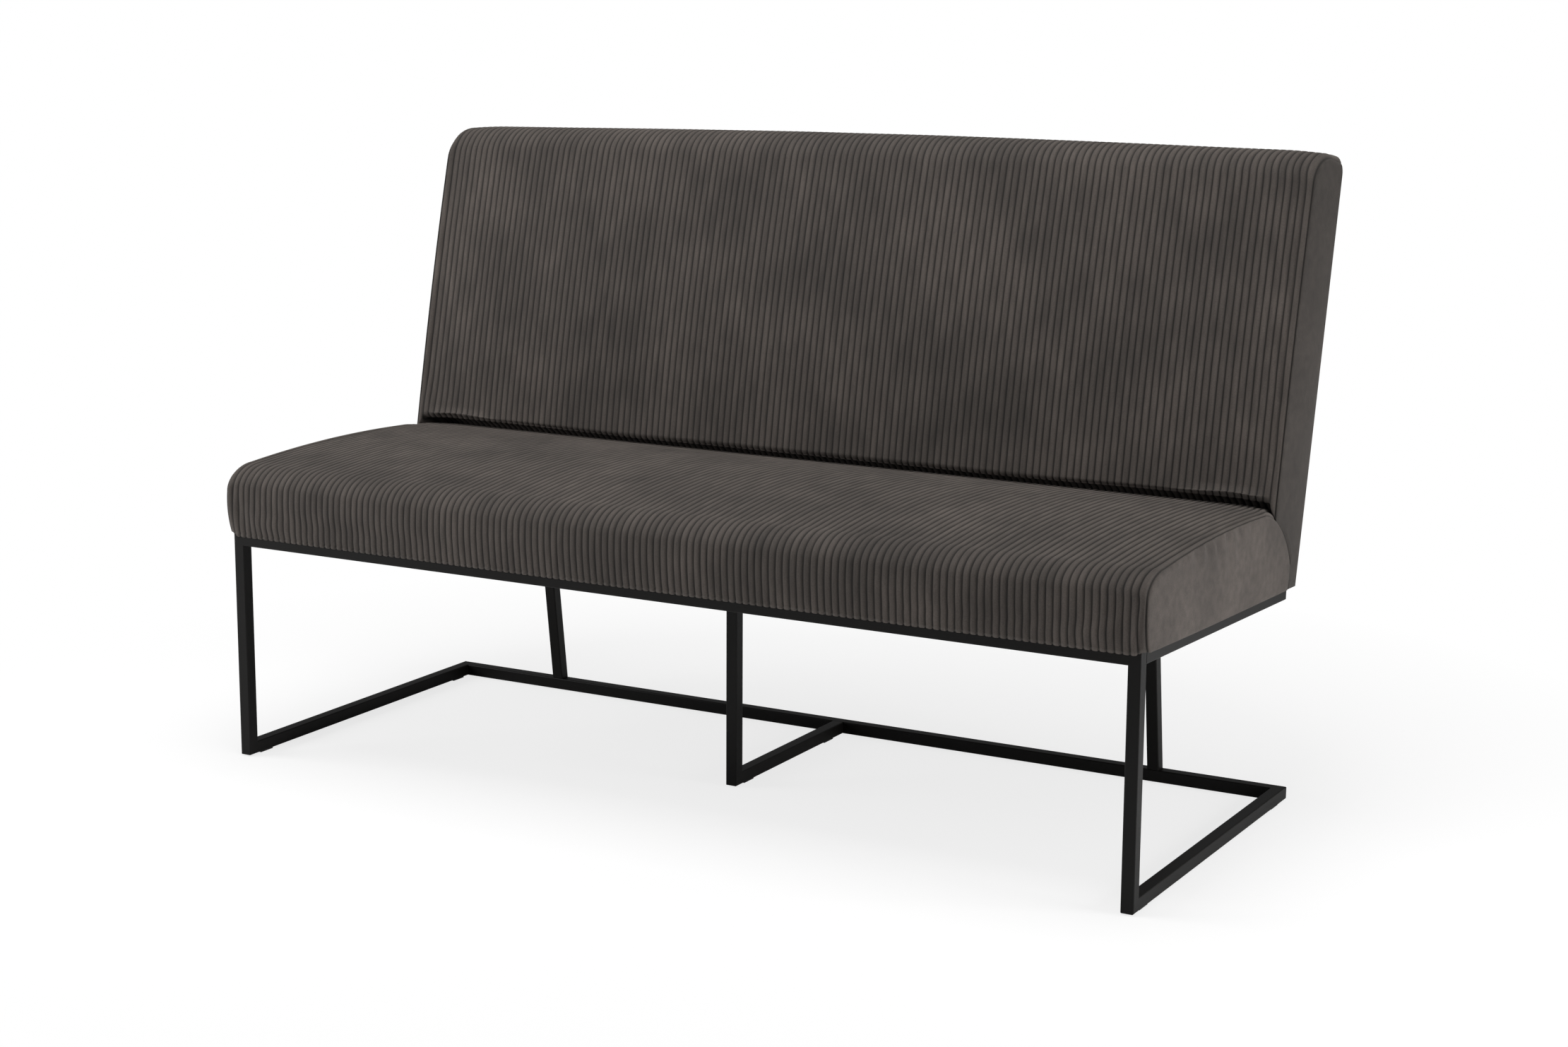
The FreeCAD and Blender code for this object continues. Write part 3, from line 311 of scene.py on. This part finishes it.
def outward(points):
    """Unit normals out of the cushion: the cross product of the grid's steps along and around."""
    down = np.roll(points, -1, axis=0) - np.roll(points, 1, axis=0)
    across = np.gradient(points, axis=1)
    normals = np.cross(across, down)
    return normals / np.maximum(np.linalg.norm(normals, axis=2, keepdims=True), LEAST_LENGTH)


def grid_faces(row_count, column_count):
    """Quads of a grid whose rows close, and one face over the small ring at each end."""
    row = np.arange(row_count)[:, None]
    column = np.arange(column_count - 1)[None, :]
    following = (row + 1) % row_count
    corners = (row * column_count + column, row * column_count + column + 1,
               following * column_count + column + 1, following * column_count + column)
    quads = np.stack(np.broadcast_arrays(*corners), axis=-1).reshape(-1, 4)
    first = (np.arange(row_count) * column_count).tolist()
    last = (np.arange(row_count) * column_count + column_count - 1).tolist()
    return quads[:, ::-1].tolist() + [first[::-1], last]


def new_mesh(name, points):
    """A mesh of a grid of points whose rows close."""
    mesh = bpy.data.meshes.new(name)
    mesh.from_pydata(points.reshape(-1, 3).tolist(), [], grid_faces(*points.shape[:2]))
    mesh.update()
    return mesh


def swell(points, held, pressure, growth, limit):
    """Moves of a cloth copy of the grid under inner pressure, held still at the marked points.

    The cloth may grow a little, so that it puckers beside the seams that hold it. A move that is longer
    than the limit is cut back to it."""
    piece = bpy.data.objects.new("cloth_copy", new_mesh("cloth_copy", points))
    bpy.context.scene.collection.objects.link(piece)
    group = piece.vertex_groups.new(name="held")
    group.add(np.flatnonzero(held).tolist(), 1.0, "REPLACE")
    cloth = piece.modifiers.new("cloth", "CLOTH").settings
    cloth.vertex_group_mass = group.name
    cloth.pin_stiffness = 1.0
    cloth.quality = 6
    cloth.mass = 0.4
    cloth.tension_stiffness = 12
    cloth.compression_stiffness = 12
    cloth.shear_stiffness = 4
    cloth.bending_stiffness = 0.6
    cloth.use_pressure = True
    cloth.uniform_pressure_force = pressure
    cloth.shrink_min = -growth
    cloth.effector_weights.gravity = 0.0
    scene = bpy.context.scene
    for step in range(1, CLOTH_STEPS + 1):
        scene.frame_set(step)
    result = piece.evaluated_get(bpy.context.evaluated_depsgraph_get()).to_mesh()
    settled = np.empty(len(result.vertices) * 3)
    result.vertices.foreach_get("co", settled)
    bpy.data.objects.remove(piece)
    scene.frame_set(1)
    moves = settled.reshape(points.shape) - points
    length = np.maximum(np.linalg.norm(moves, axis=2, keepdims=True), LEAST_LENGTH)
    return moves * np.minimum(1.0, limit / length)


def spread(moves, rows, picked, row_count, column_count):
    """Moves of the coarse grid at every point of the fine grid, in a straight line between neighbours."""
    closed_rows = np.append(rows, row_count)
    closed = np.concatenate((moves, moves[:1]), axis=0)
    fine_rows = np.arange(row_count)
    low = np.searchsorted(closed_rows, fine_rows, side="right") - 1
    part = ((fine_rows - closed_rows[low]) / (closed_rows[low + 1] - closed_rows[low]))[:, None, None]
    tall = closed[low] * (1 - part) + closed[low + 1] * part
    fine_columns = np.arange(column_count)
    left = np.minimum(np.searchsorted(picked, fine_columns, side="right") - 1, len(picked) - 2)
    part = ((fine_columns - picked[left]) / (picked[left + 1] - picked[left]))[None, :, None]
    return tall[:, left] * (1 - part) + tall[:, left + 1] * part


def ribbed(name, points, turn, rib, plain_rise, held_rows, material):
    """A padded cover: the grid swells as cloth, then ribs rise along its rows between the end seams.

    The weave holds the place along the bench, the way round the cushion and the rise of the rib. On the
    plain end panels it holds their depth, their height and one rise, which sets their tone."""
    row_count, column_count = points.shape[:2]
    ends = turn > SEAM_TURN + TURN_SLACK
    middle = np.flatnonzero(~ends)
    rows = np.arange(0, row_count, CLOTH_ROW_STEP)
    picked = np.unique(np.concatenate((np.flatnonzero(ends), middle[::RIB_COLUMNS], middle[-1:])))
    held = np.zeros((len(rows), len(picked)), bool)
    held[held_rows[rows]] = True
    held[:, ~np.isin(picked, middle[1:-1])] = True
    moves = swell(points[np.ix_(rows, picked)], held, pressure=4.0, growth=0.012, limit=0.006)
    points = points + smooth(spread(moves, rows, picked, row_count, column_count), times=3)
    points = points - outward(points) * (RIB_HEIGHT * (1 - rib))[None, :, None]
    mesh = new_mesh(name, points)
    mesh.shade_smooth()
    length = np.linalg.norm(np.diff(points[:, column_count // 2], axis=0), axis=1)
    around = np.concatenate(([0.0], np.cumsum(length)))
    weave = np.stack(np.broadcast_arrays(points[:, :, 0], around[:, None], rib[None, :]), axis=-1)
    weave[:, ends] = points[:, ends][:, :, (1, 2, 2)] * PLAIN_STRETCH + (0, 0, plain_rise)
    layer = mesh.attributes.new("weave", "FLOAT_VECTOR", "POINT")
    layer.data.foreach_set("vector", weave.astype(np.float32).ravel())
    mesh.materials.append(material)
    piece = bpy.data.objects.new(name, mesh)
    bpy.context.scene.collection.objects.link(piece)
    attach(piece, "root")
    return piece


cord_cloth = corduroy("wide_rib_corduroy", groove_colour="#15120F", ridge_colour="#443E3A")


# Seat cushion: foam in a sewn cover, crowned along and across, drawn in at its foot, with a soft rear edge.
# The cover hangs a little over the front rail, turns under the edge of the timber frame and is stapled
# there, which leaves the dust cloth in view below.

SEAT_TILT = math.radians(2.3)
BACK_LEAN = math.radians(12.8)
TUBE = 0.020
CORNER_LENGTH = 0.080
SEAT_DEPTH = 0.568
SEAT_OVERHANG = 0.002
SEAT_HANG = 0.006
SEAT_BULGE = 0.008
SEAT_FRONT_BOW = 0.004
SEAT_CROWN = 0.009
SEAT_EDGE_RISE = 0.078
SEAT_FRONT_RISE = 0.116
SEAT_FRONT_ROUND = 0.060
SEAT_CREST_RISE = 0.123
SEAT_REAR_RISE = 0.117
SEAT_REAR_ROUND = 0.078
SEAT_CORNER_ROUND = 0.060
SEAT_CORNER_BOW = np.array((0.012, 0.013))
SEAT_NAPE_RISE = 0.048
SEAT_END_FRONT = 0.011
SEAT_END_REAR = 0.002
SEAT_END_FRONT_FALL = 0.016
SEAT_END_CREST_FALL = 0.011
SEAT_END_REAR_FALL = 0.010
SEAT_END_NAPE_FALL = 0.033
SEAT_FLANGE = 0.032
SEAT_TUCK = 0.0012
SEAT_END_TUCK = 0.008
DUST_CLOTH_ROOM = 0.003
DUST_CLOTH_STEP = 0.006
DUST_CLOTH_MARGIN = 0.008
FRONT_ROWS = 12
EDGE_ROWS = 14
TOP_ROWS = 36
REAR_EDGE_ROWS = 14
REAR_ROWS = 6
FLANGE_ROWS = 3
UNDER_ROWS = 14
HELD_FOOT_ROWS = 3
SEAT_PLAIN_RISE = 0.75
GATHER_PITCH = 0.046
GATHER_DRIFT = 0.04
GATHER_HEIGHT = 0.0032
GATHER_FADE = 0.35
GATHER_ROWS = slice(20, 66)


def gathers(outline, turn, ring):
    """Small waves of the end panels below their top seam: a cosine in depth, whose pitch drifts.

    A raised cosine along the top rows fades them to the front and rear, and an exponential fades them
    towards the middle of the panel."""
    depth = outline[:, :, 0]
    wave = np.cos(2 * math.pi * depth / GATHER_PITCH + np.sin(depth / GATHER_DRIFT))
    under_top = np.zeros(len(outline))
    under_top[GATHER_ROWS] = np.hanning(GATHER_ROWS.stop - GATHER_ROWS.start)
    fade = np.exp((ring - 1) / GATHER_FADE)
    return GATHER_HEIGHT * wave * under_top[:, None] * past_seam(turn) * fade


def seat_points(along, turn, ring, front, rail_top, end):
    """Grid of the seat: front swell, front edge, crowned top, rear edge, rear face and underside.

    Rises are measured from the top of the front rail, depths from the front of the legs. Towards the
    ends the outline falls and draws in, by one less the cosine of the turn or by its sine."""
    drawn = 1 - np.cos(turn)
    cap = np.sin(turn)
    face = SEAT_END_FRONT * drawn - SEAT_OVERHANG
    hang = SEAT_HANG * np.clip(-face / SEAT_OVERHANG, 0, 1)
    crown = SEAT_CROWN * (1 - (along / end) ** 2)

    def base(depth):
        """Height of the seat's foot, which falls to the rear by the tilt."""
        return rail_top - (depth - TUBE) * math.tan(SEAT_TILT)

    def rear(height):
        """Depth of the seat's rear face, which leans as the back does."""
        return SEAT_DEPTH + (height - base(SEAT_DEPTH)) * math.tan(BACK_LEAN) - SEAT_END_REAR * drawn

    swollen = face - SEAT_BULGE
    edge_z = rail_top + SEAT_EDGE_RISE - SEAT_END_FRONT_FALL * drawn
    front_z = rail_top + SEAT_FRONT_RISE - SEAT_END_FRONT_FALL * drawn
    crest_z = rail_top + SEAT_CREST_RISE - SEAT_END_CREST_FALL * drawn + crown
    rear_z = rail_top + SEAT_REAR_RISE - SEAT_END_REAR_FALL * drawn
    nape_z = rail_top + SEAT_NAPE_RISE - SEAT_END_NAPE_FALL * cap
    heel_y = rear(base(SEAT_DEPTH))
    rear_round = SEAT_REAR_ROUND + SEAT_CORNER_ROUND * near_end(along, end, CORNER_LENGTH) ** 2
    tuck = spot(face + SEAT_TUCK + SEAT_END_TUCK * cap, base(face))
    foot = spot(face, base(face) - hang)
    edge = spot(swollen, edge_z)
    brow = spot(swollen + SEAT_FRONT_ROUND, front_z)
    shoulder = spot(rear(rear_z) - rear_round, rear_z)
    nape = spot(rear(nape_z), nape_z)
    heel = spot(heel_y, base(heel_y))
    rise = crest_z - (front_z + rear_z) / 2
    over_dust_cloth = np.abs(along) < end - SEAT_FLANGE - DUST_CLOTH_MARGIN
    lift = np.where(over_dust_cloth, DUST_CLOTH_ROOM, 0.0)
    rear_fold = spot(heel_y - SEAT_FLANGE, base(heel_y - SEAT_FLANGE))
    front_fold = spot(face + SEAT_FLANGE, base(face + SEAT_FLANGE))
    front_raised = front_fold + spot(DUST_CLOTH_STEP, lift)
    rear_raised = rear_fold + spot(-DUST_CLOTH_STEP, lift)
    full_corner = rounded(shoulder, spot(rear(rear_z), rear_z), nape, REAR_EDGE_ROWS)
    cut_corner = bowed(shoulder, nape, SEAT_CORNER_BOW, REAR_EDGE_ROWS)
    outline = np.concatenate((
        bowed(foot, edge, np.array((-SEAT_FRONT_BOW, 0)), FRONT_ROWS),
        rounded(edge, spot(swollen, front_z), brow, EDGE_ROWS),
        bowed(brow, shoulder, spot(np.zeros_like(rise), rise), TOP_ROWS),
        full_corner + (cut_corner - full_corner) * cap[:, None],
        straight(nape, heel, REAR_ROWS),
        straight(heel, rear_fold, FLANGE_ROWS),
        straight(rear_fold, rear_raised, 1),
        straight(rear_raised, front_raised, UNDER_ROWS),
        straight(front_raised, front_fold, 1),
        straight(front_fold, tuck, FLANGE_ROWS),
        straight(tuck, foot, 1)))
    outline = drawn_in(outline, (outline.min(axis=0) + outline.max(axis=0)) / 2, ring)
    reach = along + np.sign(along) * (end_swell(outline, turn) + gathers(outline, turn, ring))
    return np.stack((reach, outline[:, :, 0] + front, outline[:, :, 1]), axis=-1)


leg_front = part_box("front_leg_left")[0].y
rail_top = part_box("front_seat_rail")[1].z
seat_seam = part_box("seat_cover_main")[1].x
seat_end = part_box("seat_cover_end_right")[1].x
seat_along, seat_turn, seat_ring, seat_rib = columns(seat_seam, seat_end)
seat_grid = seat_points(seat_along, seat_turn, seat_ring, leg_front, rail_top, seat_end)
seat_held = np.zeros(len(seat_grid), bool)
seat_held[:HELD_FOOT_ROWS] = True
seat_held[FRONT_ROWS + EDGE_ROWS + TOP_ROWS + REAR_EDGE_ROWS:] = True
seat_cushion = ribbed("seat_cushion", seat_grid, seat_turn, seat_rib, SEAT_PLAIN_RISE, seat_held, cord_cloth)
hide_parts("seat_cover_main", "seat_cover_end_left", "seat_cover_end_right", "seat_foam")


# Back cushion: a leaning slab of foam in a sewn cover, with a full front, a rolled lower edge and a thin
# foot that is screwed on behind the seat. Its ribs run up the front, over the top and down the rear.

BACK_HEIGHT = 0.670
BACK_TOP_CROWN = 0.004
BACK_TOP_SLANT = 0.007
BACK_TOP_ROUND = 0.080
BACK_BROW_ROUND = 0.058
BACK_NAPE_ROUND = 0.010
BACK_REAR = 0.0453
BACK_THICKNESS = 0.135
BACK_FRONT_CROWN = 0.004
BACK_MIDDLE_CROWN = 0.005
BACK_END_FALL = 0.022
BACK_CORNER_FALL = 0.004
BACK_END_INSET = 0.006
FOOT_GAP = 0.0003
CROOK_RISE = 0.098
CROOK_END_FALL = 0.057
ROLL_RISE = 0.127
ROLL_END_FALL = 0.0345
ROLL_ROUND = 0.010
ROLL_HOLLOW = 0.016
ROLL_END_HOLLOW = 0.010
FOOT_ROWS = 6
HOLLOW_ROWS = 5
ROLL_ROWS = 10
FACE_ROWS = 36
BROW_ROWS = 12
CREST_ROWS = 6
NAPE_ROWS = 8
SPINE_ROWS = 20
SOLE_ROWS = 3
# Painted shade: the back's plain end panels take a lower rise than the seat's, so they are drawn darker
# though both face the same way.
BACK_SHADED_PLAIN_RISE = 0.36


def back_points(along, turn, ring, pivot, end):
    """Grid of the back in its own depth and height, then leant over onto the foot of the seat's rear.

    Towards the ends the outline falls and draws in, by one less the cosine of the turn or by its sine."""
    slope = math.tan(BACK_LEAN - SEAT_TILT)
    drawn = 1 - np.cos(turn)
    cap = np.sin(turn)
    middle_share = 1 - (along / end) ** 2
    fall = BACK_END_FALL * drawn + BACK_CORNER_FALL * near_end(along, end, CORNER_LENGTH) ** 2
    top = BACK_HEIGHT + BACK_TOP_CROWN * middle_share + BACK_TOP_SLANT * along / end - fall
    tail = np.full_like(along, FOOT_GAP)
    rear = BACK_REAR - BACK_END_INSET * drawn
    front = BACK_REAR - BACK_THICKNESS + BACK_END_INSET * drawn
    crown = BACK_FRONT_CROWN + BACK_MIDDLE_CROWN * middle_share
    under_z = ROLL_RISE - ROLL_END_FALL * cap
    hollow = ROLL_HOLLOW - ROLL_END_HOLLOW * cap
    toe = spot(tail, tail * slope)
    crook = spot(tail, CROOK_RISE - CROOK_END_FALL * cap)
    under = spot(front + ROLL_ROUND, under_z)
    lip = spot(front, under_z + ROLL_ROUND)
    brow = spot(front, top - BACK_BROW_ROUND)
    crest_front = spot(front + BACK_TOP_ROUND, top)
    crest_rear = spot(rear - BACK_NAPE_ROUND, top)
    nape = spot(rear, top - BACK_NAPE_ROUND)
    heel = spot(rear, rear * slope)
    outline = np.concatenate((
        straight(toe, crook, FOOT_ROWS),
        bowed(crook, under, spot(np.zeros_like(hollow), hollow), HOLLOW_ROWS),
        rounded(under, spot(front, under_z), lip, ROLL_ROWS),
        bowed(lip, brow, spot(-crown, np.zeros_like(crown)), FACE_ROWS),
        rounded(brow, spot(front, top), crest_front, BROW_ROWS),
        straight(crest_front, crest_rear, CREST_ROWS),
        rounded(crest_rear, spot(rear, top), nape, NAPE_ROWS),
        straight(nape, heel, SPINE_ROWS),
        straight(heel, toe, SOLE_ROWS)))
    outline = drawn_in(outline, spot(rear / 2, top / 2), ring)
    reach = along + np.sign(along) * end_swell(outline, turn)
    depth = pivot[0] + outline[:, :, 0] * math.cos(BACK_LEAN) + outline[:, :, 1] * math.sin(BACK_LEAN)
    height = pivot[1] + outline[:, :, 1] * math.cos(BACK_LEAN) - outline[:, :, 0] * math.sin(BACK_LEAN)
    return np.stack((reach, depth, height), axis=-1)


back_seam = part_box("back_cover_front")[1].x
back_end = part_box("back_cover_end_right")[1].x
back_along, back_turn, back_ring, back_rib = columns(back_seam, back_end)
back_pivot = (leg_front + SEAT_DEPTH, rail_top - (SEAT_DEPTH - TUBE) * math.tan(SEAT_TILT))
back_grid = back_points(back_along, back_turn, back_ring, back_pivot, back_end)
back_held = np.zeros(len(back_grid), bool)
back_held[:FOOT_ROWS + HOLLOW_ROWS] = True
back_held[FOOT_ROWS + HOLLOW_ROWS + ROLL_ROWS + FACE_ROWS + BROW_ROWS + CREST_ROWS:] = True
back_cushion = ribbed("back_cushion", back_grid, back_turn, back_rib, BACK_SHADED_PLAIN_RISE, back_held, cord_cloth)
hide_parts("back_cover_front", "back_cover_end_left", "back_cover_end_right",
            "back_cover_rear", "back_foam")


# Floor: a sheet of white studio paper, far wider than the bench.
# It keeps a soft shadow near the bench and goes to white further out.

FLOOR_REACH = 30.0
SHADOW_REACH = 0.9
WHITE_REACH = 1.6
NEAR_WHITE = 0.76
WHITE = linear("#FFFFFF")


def studio_paper():
    """Matt white that glows to the camera, the more the further from the middle of the floor."""
    material, tree, shader = new_material("white_paper", "#F4F4F4", roughness=0.9, ior=1.45)
    path = add_node(tree, "ShaderNodeLightPath").outputs["Is Camera Ray"]
    place = add_node(tree, "ShaderNodeTexCoord").outputs["Object"]
    distance = add_node(tree, "ShaderNodeVectorMath", {"operation": "LENGTH"}, {0: place})
    white = add_node(tree, "ShaderNodeMapRange", inputs={
        "Value": distance.outputs["Value"], "From Min": SHADOW_REACH, "From Max": WHITE_REACH,
        "To Min": NEAR_WHITE, "To Max": 1.0})
    glow = add_node(tree, "ShaderNodeEmission", inputs={"Color": WHITE, "Strength": 1.0})
    seen = add_node(tree, "ShaderNodeMath", {"operation": "MULTIPLY"}, {
        0: path, 1: white.outputs["Result"]})
    mixed = add_node(tree, "ShaderNodeMixShader", inputs={
        "Fac": seen.outputs["Value"], 1: shader.outputs["BSDF"], 2: glow.outputs["Emission"]})
    tree.links.new(mixed.outputs["Shader"], tree.nodes["Material Output"].inputs["Surface"])
    return material


floor_mesh = bpy.data.meshes.new("floor")
floor_corners = [(-FLOOR_REACH, -FLOOR_REACH, 0), (FLOOR_REACH, -FLOOR_REACH, 0),
                 (FLOOR_REACH, FLOOR_REACH, 0), (-FLOOR_REACH, FLOOR_REACH, 0)]
floor_mesh.from_pydata(floor_corners, [], [(0, 1, 2, 3)])
floor_mesh.materials.append(studio_paper())
floor = bpy.data.objects.new("floor", floor_mesh)
bpy.context.scene.collection.objects.link(floor)


# Light: a large soft box above, smaller ones low on the right and in front on the left.
# The room itself is white to the camera and a dim grey to the bench.

ROOM_LIGHT = 0.22


def area_light(name, place, aim, width, power):
    """A square soft box that faces a point."""
    light = bpy.data.lights.new(name, "AREA")
    light.size = width
    light.energy = power
    lamp = bpy.data.objects.new(name, light)
    lamp.location = place
    lamp.rotation_euler = (Vector(aim) - Vector(place)).to_track_quat("-Z", "Y").to_euler()
    bpy.context.scene.collection.objects.link(lamp)


area_light("top_box", place=(0.0, -0.4, 3.4), aim=(0.0, 0.0, 0.5), width=2.2, power=86)
area_light("right_box", place=(2.4, -0.1, 0.5), aim=(0.0, 0.0, 0.4), width=0.8, power=31)
area_light("front_box", place=(-2.8, -1.6, 1.4), aim=(0.0, 0.0, 0.6), width=1.6, power=62)
world = bpy.data.worlds.new("studio")
world.use_nodes = True
background = world.node_tree.nodes["Background"]
world_path = add_node(world.node_tree, "ShaderNodeLightPath").outputs["Is Camera Ray"]
world_light = add_node(world.node_tree, "ShaderNodeMapRange", inputs={
    "Value": world_path, "To Min": ROOM_LIGHT, "To Max": 1.0})
background.inputs["Color"].default_value = WHITE
world.node_tree.links.new(world_light.outputs["Result"], background.inputs["Strength"])
bpy.context.scene.world = world
bpy.context.scene.view_settings.view_transform = "Standard"


# Camera: a long lens at about eye height, to the right of the bench and well in front of it.
# Its place, angles and lens are fitted to the photograph.

CAMERA_YAW = math.radians(29.16)
CAMERA_PITCH = math.radians(11.41)
CAMERA_ROLL = math.radians(0.34)

camera = bpy.data.objects.new("camera", bpy.data.cameras.new("camera"))
camera.data.sensor_width = 36.0
camera.data.lens = 63.65
camera.data.clip_end = 100.0
camera.location = (2.1419, -3.7915, 1.2867)
looking = (Matrix.Rotation(CAMERA_YAW, 3, "Z") @ Matrix.Rotation(math.pi / 2 - CAMERA_PITCH, 3, "X")
           @ Matrix.Rotation(CAMERA_ROLL, 3, "Z"))
camera.rotation_euler = looking.to_euler()
bpy.context.scene.collection.objects.link(camera)
bpy.context.scene.camera = camera
